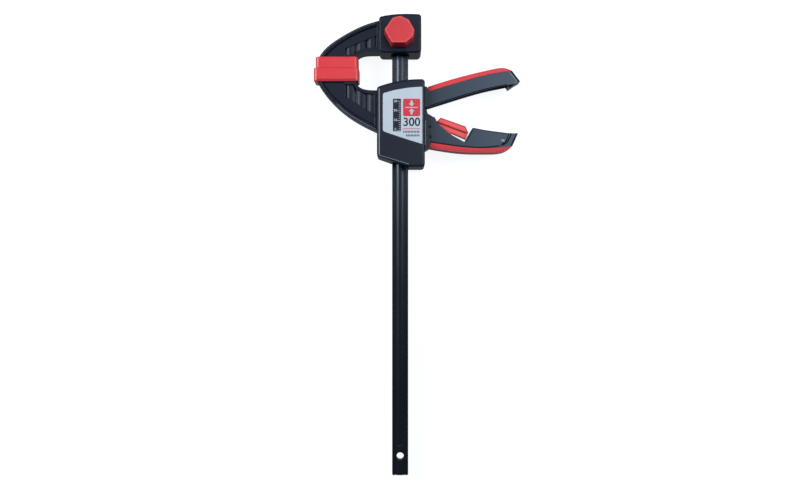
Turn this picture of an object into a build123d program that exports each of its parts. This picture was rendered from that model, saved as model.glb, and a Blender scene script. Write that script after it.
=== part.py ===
from build123d import *
import math
import os

# One-handed bar clamp, lying on its back. Millimetres.
# The parts are drawn about the bar: X runs across the bar towards the handles, Y runs along it
# towards the head, Z comes out of the front covers. Zero is on the middle line of the bar, at the
# height where the two pads meet. The last section moves everything so that the origin is under
# the middle of the whole clamp, on the surface it lies on.

# ---- driving dimensions ----
bar_width = 16.8
bar_thickness = 7.0
bar_length = 478.0
bar_top = 53.8
hole_from_end = 20.0
hole_radius = 3.75
dimple_from_hole = 13.3
bar_fit = 0.15

half_width = bar_width / 2
half_bar = bar_thickness / 2
bar_bottom = bar_top - bar_length
knob_y = bar_top - hole_from_end

head_left = -21.8
head_right = 21.8
head_bottom = 14.8
head_half_depth = 18.0
arm_half_depth = 12.0

cover_left = -24.0
cover_right = 25.5
cover_top = -12.5
cover_bottom = -103.0
cover_half_depth = 19.0
cover_wall = 2.2
label_thickness = 0.8

pad_face = 2.0
pad_wall = 1.5

lever_pivot = (0.0, -33.0)
lever_half_depth = 9.0
lever_wall = 2.4
pivot_pin_radius = 2.5

handle_half_depth = 9.5
handle_pin_radius = 1.5
release_pivot = (13.6, -57.2)
release_pin_radius = 1.5

plate_left = -13.6
plate_half_depth = 8.6
drive_plate_top = -43.3
drive_plate_thickness = 2.5
brake_pivot = (-11.4, -68.0)
brake_thickness = 4.0
brake_tilt = 4.0

screw_radius = 3.0
running = 0.05
through = 60.0


# ---- helpers ----
def block(x_low, x_high, y_low, y_high, z_low, z_high):
    """A box between six planes."""
    size = Box(x_high - x_low, y_high - y_low, z_high - z_low)
    return Pos((x_low + x_high) / 2, (y_low + y_high) / 2, (z_low + z_high) / 2) * size


def rod(x, y, radius, z_low, z_high):
    """A round rod along Z."""
    return Pos(x, y, (z_low + z_high) / 2) * Cylinder(radius, z_high - z_low)


def sheet(face, z_low, z_high):
    """A face in the XY plane, thickened between two heights."""
    return Pos(0, 0, z_low) * extrude(face, z_high - z_low)


def both_sides(shape):
    """The shape and its mirror image behind the bar."""
    return shape + mirror(shape, Plane.XY)


def polygon(*points):
    return make_face(Polyline(*points, close=True))


def bar_hole(y_low, y_high, gap):
    """The bar's own envelope with a gap all round it."""
    return block(-half_width - gap, half_width + gap, y_low, y_high, -half_bar - gap, half_bar + gap)


def rim_edges(shape, z):
    """The edges that lie flat in the plane at height z."""
    return shape.edges().filter_by(lambda e: all(abs(v.Z - z) < 1e-3 for v in e.vertices())
                                   and abs(e.center().Z - z) < 1e-3)


def upright_edges(shape, *corners):
    """The edges along Z at the given (x, y) corners."""
    found = ShapeList()
    for edge in shape.edges().filter_by(Axis.Z):
        for x, y in corners:
            if abs(edge.center().X - x) < 0.05 and abs(edge.center().Y - y) < 0.05:
                found.append(edge)
    return found


# ---- the bar ----
edge_bevel = 0.6
groove_depth = 1.1
dimple_radius = 2.9


def bar_section():
    """The whole section from one quarter: edge land, groove, and the bevelled rib in the middle."""
    floor = half_bar - groove_depth
    quarter = [(half_width, half_bar - edge_bevel), (half_width - edge_bevel, half_bar),
               (6.9, half_bar), (6.1, floor), (3.9, floor), (3.4, floor + 0.4), (1.6, half_bar)]
    upper = quarter + [(-x, y) for x, y in reversed(quarter)]
    lower = [(-x, -y) for x, y in upper]
    return polygon(*upper, *lower)


def make_bar():
    shape = Pos(0, bar_top, 0) * Rot(90, 0, 0) * extrude(bar_section(), bar_length)
    for end, inward in ((bar_top, -1), (bar_bottom, 1)):
        hole_y = end + inward * hole_from_end
        shape -= rod(0, hole_y, hole_radius, -through, through)
        sink = Pos(0, hole_y, half_bar - 0.5) * Cone(hole_radius - 0.5, hole_radius + 0.6, 1.1)
        dimple_y = hole_y + inward * dimple_from_hole
        shape -= both_sides(sink) + rod(0, dimple_y, dimple_radius, half_bar - 0.6, half_bar + 1)
    ends = shape.edges().filter_by(Axis.Z).filter_by(
        lambda e: abs(abs(e.center().X) - half_width) < 0.1)
    return chamfer(ends, 1.0)


# ---- fixed jaw: head box and upper arm ----
upper_outer = [(-18.0, 49.9), (-41.8, 42.4), (-62.5, 31.2), (-77.0, 20.4), (-84.6, 10.0)]
upper_inner = [(-46.6, 10.0), (-42.5, 14.8), (-34.0, 17.2), (-18.0, 18.2)]
upper_seat = (-86.0, -45.3, pad_face, 10.2)
web_depth = 2.0
recess_depth = 4.6
rib_radius = 8.2
rib_rise = 2.2
rib_places = (-51.3, -40.0, -28.7)
flange_groove = 0.9
flange_groove_depth = 0.7
head_crown = ((head_right, 54.6), (7.1, 55.0), (-5.3, 54.55), (head_left, 51.75))
head_corner = 3.2
head_low_corner = 4.4
head_rim = 2.0
nut_half = 5.0
nut_face = -11.9
nut_height = 5.0


def arm_face(outer, inner):
    return make_face(Spline(*outer) + Line(outer[-1], inner[0]) + Spline(*inner)
                     + Line(inner[-1], outer[0]))


def ribbed_recess(outline):
    """Cut-out with a deep floor on the front, filled with broad rounded ribs along Y."""
    floor = arm_half_depth - recess_depth
    cut = sheet(polygon(*outline), floor, arm_half_depth + 1)
    for x in rib_places:
        height = floor + rib_rise - rib_radius
        cut -= Pos(x, 0, height) * Rot(90, 0, 0) * Cylinder(rib_radius, 2 * through)
    return cut


def arm(outer, inner, seat, web_points, recess_points):
    """A curved arm: flanges at the full depth, a web set back, a deeper ribbed recess, pad seat."""
    body = sheet(arm_face(outer, inner), -arm_half_depth, arm_half_depth)
    web = sheet(polygon_with_curve(web_points), arm_half_depth - web_depth, arm_half_depth + 1)
    body -= both_sides(web) + both_sides(ribbed_recess(recess_points))
    # A fine groove runs along the middle of the outer flange.
    middle = [((x + u) / 2, (y + v) / 2) for (x, y), (u, v) in zip(outer, web_points)]
    groove = sheet(trace(Spline(*middle), flange_groove), arm_half_depth - flange_groove_depth,
                   arm_half_depth + 1)
    body -= both_sides(groove)
    return body + block(*seat, -arm_half_depth, arm_half_depth)


def polygon_with_curve(points):
    """A spline through all but the last two points, closed by straight lines through those."""
    curve = points[:-2]
    return make_face(Spline(*curve) + Polyline(curve[-1], *points[-2:], curve[0]))


def head_face():
    rest = Polyline(head_crown[-1], (head_left, head_bottom), (head_right, head_bottom),
                    head_crown[0])
    return make_face(Spline(*head_crown) + rest)


def make_fixed_jaw():
    head = sheet(head_face(), -head_half_depth, head_half_depth)
    head = fillet(upright_edges(head, head_crown[0], head_crown[-1]), head_corner)
    head = fillet(upright_edges(head, (head_left, head_bottom), (head_right, head_bottom)),
                  head_low_corner)
    for z in (head_half_depth, -head_half_depth):
        head = fillet(rim_edges(head, z), head_rim)
    web = [(-24.0, 44.6), (-41.8, 38.2), (-60.5, 28.0), (-73.0, 18.6), (-79.0, 11.9),
           (-58.5, 11.9), (-24.0, 35.2)]
    recess = [(-57.5, 13.5), (-57.5, 20.5), (-24.5, 34.2), (-24.5, 21.6), (-34.0, 20.8),
              (-43.6, 18.2), (-48.5, 13.5)]
    shape = head + arm(upper_outer, upper_inner, upper_seat, web, recess)
    shape -= bar_hole(head_bottom - 5, bar_top + 5, bar_fit)
    # The mouth below the slot is open to the front, so that the bar's groove shows there.
    shape -= block(-9.4, 9.4, head_bottom - 1, head_bottom + 3.2, -half_bar - 1, 9.5)
    shape -= rod(0, knob_y, screw_radius + 0.4, -through, through)
    return shape - nut_block(nut_half + 0.1, head_half_depth + 1 + nut_face)


def nut_block(half, height):
    """The square nut, or the pocket for it, standing on its inner face."""
    return block(-half, half, knob_y - half, knob_y + half, nut_face - height, nut_face)


def make_head_nut():
    nut = nut_block(nut_half, nut_height)
    nut = chamfer(rim_edges(nut, nut_face - nut_height), 0.6)
    return nut - rod(0, knob_y, screw_radius + running, -through, 0)


# ---- knob, its screw and washer ----
knob_base = head_half_depth + 1.4
knob_top = 36.5
# Corners of the knob about its axis: angle in degrees and radius.
knob_corners = ((1, 14.5), (49, 13.4), (89, 14.0), (122, 14.3), (180, 15.9), (237, 15.8),
                (294, 14.5), (329, 14.7))
knob_corner_round = 1.8
knob_rim = 0.7
knob_draft = 2.5
washer_radius = 9.0
collar_radius = 5.0
collar_height = 9.0
seat_depth = 0.6
stud_end = -16.5


def make_knob():
    """An eight-sided knob with rounded corners, hollowed for the washer and the screw's collar."""
    corners = []
    for degrees, radius in knob_corners:
        angle = math.radians(degrees)
        corners.append((radius * math.cos(angle), radius * math.sin(angle)))
    face = fillet(polygon(*corners).vertices(), knob_corner_round)
    # The sides widen a little towards the base, as they must to leave their mould.
    blank = Pos(0, 0, knob_top) * extrude(face, knob_base - knob_top, taper=-knob_draft)
    blank = chamfer(rim_edges(blank, knob_top), knob_rim)
    blank -= rod(0, 0, washer_radius + 0.3, knob_base - 1, knob_base + seat_depth)
    blank -= rod(0, 0, collar_radius, knob_base, knob_base + collar_height)
    return Pos(0, knob_y, 0) * blank


def make_knob_screw():
    """A stud with a round collar moulded into the knob."""
    stud = rod(0, knob_y, screw_radius, stud_end, knob_base + seat_depth)
    stud += rod(0, knob_y, collar_radius, knob_base + seat_depth, knob_base + collar_height)
    return chamfer(rim_edges(stud, stud_end), 0.7)


def make_knob_washer():
    ring = rod(0, knob_y, washer_radius, head_half_depth, knob_base + seat_depth - running)
    return ring - rod(0, knob_y, screw_radius + 0.1, 0, through)


# ---- pads ----
pad_corner = 3.6
pad_face_bevel = 0.35
pad_mouth_round = 1.0


def edges_along(shape, y):
    """The edges that lie in the plane across the bar's direction at y."""
    return shape.edges().filter_by(lambda e: all(abs(v.Y - y) < 1e-3 for v in e.vertices())
                                   and abs(e.center().Y - y) < 1e-3)


def pad(left, right, mouth, half_depth, seat):
    """A soft cap over an arm's seat: its face at zero height, round corners, open at the mouth."""
    cap = block(left, right, *sorted((0, mouth)), -half_depth, half_depth)
    cap = fillet(cap.edges().filter_by(Axis.Y), pad_corner)
    cap = chamfer(edges_along(cap, 0), pad_face_bevel)
    cap = fillet(edges_along(cap, mouth), pad_mouth_round)
    room = sorted((math.copysign(pad_face, mouth), mouth))
    return cap - block(seat[0], seat[1], *room, -arm_half_depth, arm_half_depth)


lower_seat = (-88.0, -44.4, -12.0, -pad_face)


def make_fixed_pad():
    return pad(-87.6, -43.7, 11.7, arm_half_depth + pad_wall, upper_seat)


def make_moving_pad():
    return pad(-89.6, -42.8, -13.6, arm_half_depth + pad_wall + 0.1, lower_seat)


# ---- moving jaw: lower arm and the block on the bar ----
lower_outer = [(-18.0, -67.4), (-38.2, -58.0), (-55.3, -47.5), (-72.3, -32.4), (-87.2, -11.9)]
lower_inner = [(-45.6, -11.9), (-42.6, -19.4), (-33.5, -22.7), (-18.0, -23.4)]
guide_width = 21.0
guide_depth = 11.0
tongue_end = 34.0
tongue_height = (-76.5, -66.5)
tongue_half_depth = 5.8
handle_pin = (30.9, -71.1)
stop_pin = (30.9, -60.5)
stop_pin_radius = 1.0
release_slot = 4.6
top_bridge = (-26.2, -18.9)
low_bridge = (-93.4, -80.0)
spring_shelf = -61.4


def make_moving_jaw():
    web = [(-26.6, -59.4), (-38.2, -54.0), (-53.0, -44.8), (-69.6, -30.2), (-81.4, -14.6),
           (-58.5, -14.6), (-26.6, -50.5)]
    recess = [(-56.8, -17.0), (-56.8, -29.6), (-27.0, -48.0), (-27.0, -27.2), (-34.5, -26.4),
              (-44.4, -22.6), (-48.0, -17.0)]
    shape = arm(lower_outer, lower_inner, lower_seat, web, recess)
    # The block inside the covers: left wall, the two bridges with the bar guides, the right wall
    # that carries the handle, and the shelf for the drive spring with the brake plate's stop.
    deep = arm_half_depth
    core = block(-30.0, -14.0, -110.0, 0.0, -deep, deep)
    core += block(-30.0, 17.0, *top_bridge, -deep, deep)
    core += block(-30.0, 30.0, *low_bridge, -deep, deep)
    core += block(10.5, 30.0, -110.0, low_bridge[1], -deep, deep)
    core += block(17.6, 30.0, low_bridge[0], -52.0, -deep, deep)
    core &= sheet(offset(cover_face(), -cover_wall - 0.3), -deep, deep)
    core += block(-14.5, 9.4, -64.0, spring_shelf, -deep, deep)
    core += block(-14.5, -12.0, -65.7, -64.0, -deep, deep)
    core += both_sides(block(10.9, 17.6, -60.4, -54.4, 4.6, deep))
    core += block(20.0, tongue_end, *tongue_height, -tongue_half_depth, tongue_half_depth)
    shape += core
    for bridge in (top_bridge, low_bridge):
        shape -= guide_space(*bridge)
    shape -= bar_hole(-70, -60, 0.5)
    # Room for the release lever's arm and for the brake plate's tongue.
    shape -= block(14.0, 24.0, -66.5, -50.0, -release_slot, release_slot)
    shape -= block(14.0, 22.7, -72.0, -60.0, -release_slot, release_slot)
    shape -= rod(*release_pivot, release_pin_radius, -through, through)
    shape -= rod(*handle_pin, handle_pin_radius, -through, through)
    for x, y in screw_places:
        shape -= rod(x, y, screw_shank + 0.55, -through, through)
    return shape


def guide_space(y_low, y_high):
    return block(-guide_width / 2, guide_width / 2, y_low, y_high, -guide_depth / 2, guide_depth / 2)


def bar_guide(y_low, y_high):
    """A steel liner in a bridge of the jaw, a running fit on the bar."""
    return guide_space(y_low, y_high) - bar_hole(y_low - 1, y_high + 1, bar_fit)


# ---- covers, labels and screws ----
screw_places = ((-18.0, -23.0), (13.6, -20.6), (-18.0, -84.0), (18.6, -92.6))
screw_shank = 1.25
screw_head = 2.8
screw_head_height = 2.0
post_radius = 3.4
cover_round = 3.4
cover_rim = 2.6
screw_seat = 3.0 - cover_half_depth
screw_end = cover_half_depth - 3.6
pivot_pin_end = cover_half_depth - 4.0
cover_corners = ((cover_left, -20.6), (cover_left, -91.6), (cover_right, cover_bottom),
                 (cover_right, cover_top))


def cover_face():
    top = ThreePointArc((cover_right, cover_top), (3.0, -13.7), (cover_left, -20.6))
    rest = Polyline((cover_left, -20.6), (cover_left, -91.6), (8.7, cover_bottom),
                    (cover_right, cover_bottom), (cover_right, cover_top))
    return make_face(top + rest)


def label_face():
    top = ThreePointArc((22.9, -20.6), (2.0, -22.6), (-17.8, -27.4))
    bottom = ThreePointArc((-17.8, -66.4), (2.0, -73.2), (22.9, -79.6))
    return make_face(top + Line((-17.8, -27.4), (-17.8, -66.4)) + bottom
                     + Line((22.9, -79.6), (22.9, -20.6)))


def label_plate():
    plate = sheet(label_face(), cover_half_depth - label_thickness, cover_half_depth)
    return fillet(plate.edges().filter_by(Axis.Z).sort_by(Axis.X)[:2], 3.0)


def cover_shell():
    """The front cover: a shell with a rounded rim, screw posts, pivot posts and a label recess."""
    shell = sheet(cover_face(), 0, cover_half_depth)
    shell = fillet(upright_edges(shell, *cover_corners), cover_round)
    shell = fillet(rim_edges(shell, cover_half_depth), cover_rim)
    room = sheet(offset(cover_face(), -cover_wall), -1, cover_half_depth - cover_wall)
    shell -= room
    shell += rod(*lever_pivot, 5.0, lever_half_depth + 0.4, cover_half_depth - cover_wall)
    inside = sheet(cover_face(), 0, cover_half_depth)
    for x, y in screw_places:
        shell += rod(x, y, post_radius, arm_half_depth, cover_half_depth - cover_wall) & inside
    # Openings in the side wall for the arm, the lever, the handle and the bar.
    shell -= block(-30, -20, -66.4, -22.6, -1, arm_half_depth + 0.1)
    shell -= block(20, 30, -86.4, -17.2, -1, handle_half_depth)
    shell -= bar_hole(-120, 0, 0.5)
    return shell - rod(*lever_pivot, pivot_pin_radius, 0, pivot_pin_end)


def make_front_cover():
    shell = cover_shell() - label_plate()
    for x, y in screw_places:
        shell -= rod(x, y, screw_shank, 0, screw_end + 0.4)
    return shell


def make_rear_cover():
    shell = mirror(cover_shell() - label_plate(), Plane.XY)
    for x, y in screw_places:
        shell -= rod(x, y, screw_shank + 0.35, -through, 0)
        shell -= rod(x, y, screw_head + 0.1, -through, screw_seat)
    return shell


def make_cover_screws():
    """Four pan-head screws from behind, with a cross-shaped recess."""
    top = screw_seat - screw_head_height
    screws = []
    for x, y in screw_places:
        screw = rod(x, y, screw_head, top, screw_seat) + rod(x, y, screw_shank, screw_seat, screw_end)
        for long_x, long_y in ((1.6, 0.35), (0.35, 1.6)):
            screw -= block(x - long_x, x + long_x, y - long_y, y + long_y, top - 1, top + 1)
        screws.append(screw.solid())
    return Compound(children=screws)


# ---- pump lever ----
lever_seam = [(29.6, -23.9), (43.2, -19.6), (59.0, -14.9), (87.0, -7.2), (112.0, -2.9)]
lever_crown = [(29.0, -18.6), (45.4, -13.3), (70.4, -6.3), (95.4, -0.5), (107.0, 1.0),
               (116.1, -1.9)]
lever_tip = (124.7, -13.2)
lever_under = [(111.2, -16.9), (84.8, -22.6), (50.9, -32.6), (29.7, -39.4)]
lever_nose = (lever_pivot[0] + 12.0, lever_pivot[1] - 7.0)
lever_nose_radius = 3.0
lever_boss_radius = 6.4
lever_ribs = (76.0, 98.0)


def lever_outline():
    """Side view of the lever without its boss: from the root along the seam to the tip and back."""
    seam = Spline(*lever_seam)
    rest = Polyline(lever_seam[-1], lever_crown[-1], lever_tip, (119.6, -16.1), (113.7, -20.2),
                    lever_under[0])
    under = Spline(*lever_under)
    root = Polyline(lever_under[-1], (18.5, -40.6), (9.0, -39.0), (-3.0, -34.0), (1.0, -27.2),
                    (17.5, -27.2), (21.5, -18.4), (28.0, -18.6), lever_seam[0])
    return make_face(seam + rest + under + root)


def make_pump_lever():
    shape = sheet(lever_outline(), -lever_half_depth, lever_half_depth)
    shape += rod(*lever_pivot, lever_boss_radius, -lever_half_depth, lever_half_depth)
    shape += rod(*lever_nose, lever_nose_radius, 1 - lever_half_depth, lever_half_depth - 1)
    inside = lever_half_depth - lever_wall
    # The channel is open below: it stops under the top wall and short of the tip.
    room = make_face(Polyline((17.5, -50.0), (17.5, -29.0), (30.0, -26.8), (59.0, -17.8),
                              (87.0, -10.1), (111.0, -6.0), (118.0, -7.0), (120.2, -12.0),
                              (112.0, -18.0), (112.0, -30.0), (17.5, -50.0)))
    shape -= sheet(room, -inside, inside)
    # Two ribs stiffen the channel above the handle's tip.
    for x in lever_ribs:
        shape += block(x - 0.9, x + 0.9, -17.0, -11.0, -inside, inside)
    # The root is a fork with the bar between its legs.
    shape -= block(-20, 18.0, -60, -10, -half_bar - 0.6, half_bar + 0.6)
    return shape - rod(*lever_pivot, pivot_pin_radius + running, -through, through)


def strip(curve_out, curve_in, half_depth, rounding):
    """A soft strip between two curves, rounded along its outer edges."""
    outline = make_face(Spline(*curve_out) + Line(curve_out[-1], curve_in[-1])
                        + Spline(*reversed(curve_in)) + Line(curve_in[0], curve_out[0]))
    shape = sheet(outline, -half_depth, half_depth)
    middle = curve_out[len(curve_out) // 2]
    outer = [rim_edges(shape, z).sort_by_distance((*middle, z))[0] for z in (half_depth, -half_depth)]
    return fillet(outer, rounding)


grip_proud = 0.2
grip_round = 2.0


def make_lever_soft_grip():
    return strip(lever_crown, lever_seam, lever_half_depth + grip_proud, grip_round)


# ---- handle ----
handle_seam = [(31.4, -77.0), (45.4, -79.1), (62.0, -81.4), (85.0, -82.8), (107.8, -81.7),
               (116.1, -80.2)]
handle_sole = [(30.6, -82.2), (45.4, -84.8), (66.0, -87.2), (92.0, -87.6), (109.5, -85.4),
               (116.2, -81.0)]
notch = [(38.0, -56.4), (51.4, -67.8), (66.7, -76.2), (72.9, -65.2), (75.4, -61.5)]
cap_line = [(115.5, -67.2), (113.4, -72.4), (110.3, -77.3), (105.0, -79.4)]
lip_line = [(112.9, -67.0), (111.6, -71.9), (109.6, -75.9), (105.6, -78.6)]
joint_groove = 0.9
joint_groove_depth = 0.8
neck_side = 36.9
release_room = 6.6
rivet_place = (107.0, -74.7)
rivet_radius = 2.0
rivet_proud = 0.3


def handle_outline():
    neck = Polyline((23.0, -86.0), (23.0, -42.0), (27.8, -42.0), (28.6, -46.0), (35.6, -50.3),
                    (37.3, -53.0), *notch)
    top = Spline(notch[-1], (91.1, -64.4), (111.9, -67.1))
    tip = Polyline((111.9, -67.1), (122.5, -67.3), (116.6, -80.4), handle_seam[-1])
    bottom = Spline(*reversed(handle_seam))
    heel = Polyline(handle_seam[0], handle_sole[0], (27.4, -84.2), (23.0, -86.0))
    return make_face(neck + top + tip + bottom + heel)


def cap_outline():
    """The part of the handle beyond the S-shaped joint line."""
    joint = Spline(*cap_line)
    return make_face(joint + Polyline(cap_line[-1], (105.0, -90.0), (130.0, -90.0), (130.0, -60.0),
                                      (115.5, -60.0), cap_line[0]))


def joint_grooves():
    """Two fine grooves on each side: along the joint of the end cap, and along a lip before it."""
    lines = trace(Spline(*cap_line), joint_groove) + trace(Spline(*lip_line), joint_groove)
    return both_sides(sheet(lines, handle_half_depth - joint_groove_depth, handle_half_depth + 1))


def make_handle():
    body = sheet(handle_outline(), -handle_half_depth, handle_half_depth)
    body -= sheet(cap_outline(), -through, through) + joint_grooves()
    # The top of the neck is narrow, so that the lever closes over it.
    body -= both_sides(block(20, neck_side, -50.2, -40, 6.0, 20))
    # Slot for the release lever, from the neck to the far end of the notch.
    slot = polygon((22, -46), (22, -64.2), (40.0, -64.2), (52.0, -72.2), (66.9, -79.0),
                   (73.0, -65.2), (75.2, -60.0))
    body -= sheet(slot, -release_room, release_room) & block(neck_side, 80, -90, -40, -10, 10)
    body -= block(22, neck_side, -64.2, -52.4, -release_slot, release_slot)
    # Socket for the jaw's tongue, hollow for the end cap's tongue, and the three cross holes.
    body -= block(22, tongue_end, *tongue_height, -tongue_half_depth, tongue_half_depth)
    body -= block(78.0, 120.0, -79.0, -68.6, -6.0, 6.0)
    body -= rod(*handle_pin, handle_pin_radius, -through, through)
    body -= rod(*stop_pin, stop_pin_radius, -through, through)
    return body - rod(*rivet_place, rivet_radius, -through, through)


def make_handle_end_cap():
    cap = sheet(handle_outline(), -handle_half_depth, handle_half_depth)
    cap &= sheet(cap_outline(), -through, through)
    cap -= joint_grooves()
    cap += block(98.0, 114.0, -78.8, -70.4, -5.9, 5.9)
    return cap - rod(*rivet_place, rivet_radius, -through, through)


def make_end_cap_rivet():
    end = handle_half_depth + rivet_proud
    rivet = rod(*rivet_place, rivet_radius, -end, end)
    return chamfer(rim_edges(rivet, end) + rim_edges(rivet, -end), rivet_proud)


def make_handle_soft_grip():
    return strip(handle_sole, handle_seam, handle_half_depth + grip_proud, grip_round)


# ---- release lever ----
thumb_half = 6.2
wedge_half = 4.7
release_arm_half = 4.2
release_nose_half = 3.8
release_nose = (release_pivot[0] + 7.4, release_pivot[1] - 4.6)
release_nose_radius = 1.5


def make_release_lever():
    """Thumb pad on a thinner wedge, with an arm that reaches in past the bar guide to its pivot."""
    thumb = polygon((38.0, -54.6), (42.1, -50.3), (68.1, -59.5), (70.3, -63.9), (69.2, -66.1))
    wedge = polygon((38.0, -54.6), (70.9, -64.6), (71.4, -65.6), (68.5, -72.5), (54.4, -66.4),
                    (51.6, -67.4), (41.0, -58.6))
    shape = sheet(thumb, -thumb_half, thumb_half) + sheet(wedge, -wedge_half, wedge_half)
    shape = fillet(rim_edges(shape, thumb_half) + rim_edges(shape, -thumb_half), 0.8)
    reach = polygon((40.5, -53.6), (42.0, -58.0), (17.0, -58.2), release_pivot, (14.0, -54.9),
                    (17.0, -53.6))
    shape += sheet(reach, -release_arm_half, release_arm_half)
    shape += rod(*release_pivot, 2.3, -release_arm_half, release_arm_half)
    # The nose that presses on the brake plate's tongue.
    x, y = release_nose
    spur = polygon((15.0, -58.6), (17.0, -57.0), (24.4, -57.0), (x + release_nose_radius, y),
                   (x - release_nose_radius, y))
    shape += sheet(spur, -release_nose_half, release_nose_half)
    shape += rod(x, y, release_nose_radius, -release_nose_half, release_nose_half)
    return shape - rod(*release_pivot, release_pin_radius + running, -through, through)


# ---- drive plates, brake plate and springs ----
plate_gap = 0.35
tongue_root = 27.4
tongue_tip = 33.4
spring_turns = 5
drive_wire = 0.7
brake_wire = 0.5


def jam_plate(left, right, half_depth, thickness):
    """A steel plate with a slot for the bar, its top face at zero height."""
    plate = block(left, right, -thickness, 0, -half_depth, half_depth)
    plate = chamfer(plate.edges().filter_by(Axis.Y), 1.0)
    return plate - bar_hole(-20, 20, plate_gap)


def make_drive_plates():
    """Two plates, one under the other."""
    plate = jam_plate(plate_left, 16.6, plate_half_depth, drive_plate_thickness)
    tops = (drive_plate_top, drive_plate_top - drive_plate_thickness - running)
    return Compound(children=[(Pos(0, top, 0) * plate).solid() for top in tops])


def make_brake_plate():
    """It rocks on its half-round left end; a narrow tongue lies under the release lever."""
    half = brake_thickness / 2
    plate = block(0, tongue_root, -half, half, -plate_half_depth, plate_half_depth)
    plate += rod(0, 0, half, -plate_half_depth, plate_half_depth)
    plate += block(tongue_root, tongue_tip, -half, half, -release_nose_half, release_nose_half)
    plate -= Pos(-brake_pivot[0], 0, 0) * bar_hole(-20, 20, plate_gap + 0.05)
    return Pos(*brake_pivot, 0) * Rot(0, 0, brake_tilt) * plate


def coil(x, low, top, radius, wire):
    """A coil spring along Y between two heights."""
    pitch = (top - low - 2 * wire) / spring_turns
    path = Helix(pitch, pitch * spring_turns, radius)
    profile = Plane(path @ 0, z_dir=path % 0) * Circle(wire)
    return Pos(x, top - wire, 0) * Rot(90, 0, 0) * sweep(profile, path)


def make_drive_spring():
    top = drive_plate_top - 2 * drive_plate_thickness - 0.3
    return coil(0, spring_shelf + 0.2, top, 10.0, drive_wire)


def make_brake_spring():
    return coil(13.4, low_bridge[1] + 0.2, -68.6, 2.8, brake_wire)


def make_lever_pivot_pins():
    """Two stub pins, one each side of the bar, held in the covers' posts."""
    stub = rod(*lever_pivot, pivot_pin_radius, half_bar + 0.7, pivot_pin_end)
    return Compound(children=[stub.solid(), mirror(stub, Plane.XY).solid()])


def cross_pin(place, radius, half):
    """A straight pin through both sides of the clamp."""
    return rod(*place, radius, -half, half)


# ---- everything in its place ----
whole_left = -89.6
whole_right = lever_tip[0]
whole_top = 55.0
to_origin = Pos(-(whole_left + whole_right) / 2, -(bar_bottom + whole_top) / 2, cover_half_depth)

pieces = {
    "bar": make_bar,
    "fixed_jaw": make_fixed_jaw,
    "head_nut": make_head_nut,
    "knob": make_knob,
    "knob_screw": make_knob_screw,
    "knob_washer": make_knob_washer,
    "fixed_pad": make_fixed_pad,
    "moving_pad": make_moving_pad,
    "moving_jaw": make_moving_jaw,
    "upper_bar_guide": lambda: bar_guide(*top_bridge),
    "lower_bar_guide": lambda: bar_guide(*low_bridge),
    "front_cover": make_front_cover,
    "rear_cover": make_rear_cover,
    "front_label": label_plate,
    "rear_label": lambda: mirror(label_plate(), Plane.XY),
    "cover_screws": make_cover_screws,
    "pump_lever": make_pump_lever,
    "lever_soft_grip": make_lever_soft_grip,
    "lever_pivot_pins": make_lever_pivot_pins,
    "handle": make_handle,
    "handle_soft_grip": make_handle_soft_grip,
    "handle_end_cap": make_handle_end_cap,
    "end_cap_rivet": make_end_cap_rivet,
    "handle_pin": lambda: cross_pin(handle_pin, handle_pin_radius, handle_half_depth - 1.0),
    "release_stop_pin": lambda: cross_pin(stop_pin, stop_pin_radius, handle_half_depth - 0.6),
    "release_lever": make_release_lever,
    "release_pivot_pin": lambda: cross_pin(release_pivot, release_pin_radius, arm_half_depth),
    "drive_plates": make_drive_plates,
    "drive_spring": make_drive_spring,
    "brake_plate": make_brake_plate,
    "brake_spring": make_brake_spring,
}

if __name__ == "__main__":
    os.makedirs("parts", exist_ok=True)
    for name, make in pieces.items():
        export_step(to_origin * make(), f"parts/{name}.step")
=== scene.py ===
# %% [markdown]
# # A one-handed bar clamp
# The clamp arrives as finished solids: every piece is there at its real size, in metres, already in
# its place and tied to the body that it moves with. This notebook gives those solids their looks.
# It sets up a camera and a plain studio, builds the finishes out of nodes, rounds the sharp edges,
# and adds what is too fine for the solids: printing, joint lines, moulded texture, and painted
# shade and painted highlights along edges and walls.

# %% Load the solids
import math
import bmesh
import bpy
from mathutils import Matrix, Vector


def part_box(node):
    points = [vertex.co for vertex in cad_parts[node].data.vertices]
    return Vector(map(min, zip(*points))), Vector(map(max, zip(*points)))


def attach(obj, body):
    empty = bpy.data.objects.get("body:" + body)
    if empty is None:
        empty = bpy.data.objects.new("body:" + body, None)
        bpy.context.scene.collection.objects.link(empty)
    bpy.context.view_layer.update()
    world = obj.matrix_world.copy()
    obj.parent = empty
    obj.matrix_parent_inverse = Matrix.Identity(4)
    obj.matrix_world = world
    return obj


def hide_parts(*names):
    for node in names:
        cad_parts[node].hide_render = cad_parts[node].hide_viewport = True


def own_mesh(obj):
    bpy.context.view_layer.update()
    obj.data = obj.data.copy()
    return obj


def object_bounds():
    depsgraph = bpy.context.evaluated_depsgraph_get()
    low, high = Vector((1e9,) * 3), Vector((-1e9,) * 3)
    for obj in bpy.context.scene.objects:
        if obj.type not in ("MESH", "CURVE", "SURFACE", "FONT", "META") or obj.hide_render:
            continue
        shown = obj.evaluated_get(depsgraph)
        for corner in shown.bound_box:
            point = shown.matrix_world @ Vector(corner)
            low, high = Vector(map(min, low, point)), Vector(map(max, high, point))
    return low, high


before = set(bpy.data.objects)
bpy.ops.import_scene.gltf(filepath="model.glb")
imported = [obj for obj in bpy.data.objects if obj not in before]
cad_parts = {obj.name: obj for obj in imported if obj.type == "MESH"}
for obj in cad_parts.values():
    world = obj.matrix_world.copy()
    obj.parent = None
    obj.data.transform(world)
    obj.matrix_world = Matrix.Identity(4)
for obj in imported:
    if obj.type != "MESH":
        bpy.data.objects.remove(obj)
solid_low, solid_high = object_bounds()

print("size in mm:", [round(side * 1000, 1) for side in solid_high - solid_low])

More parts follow.
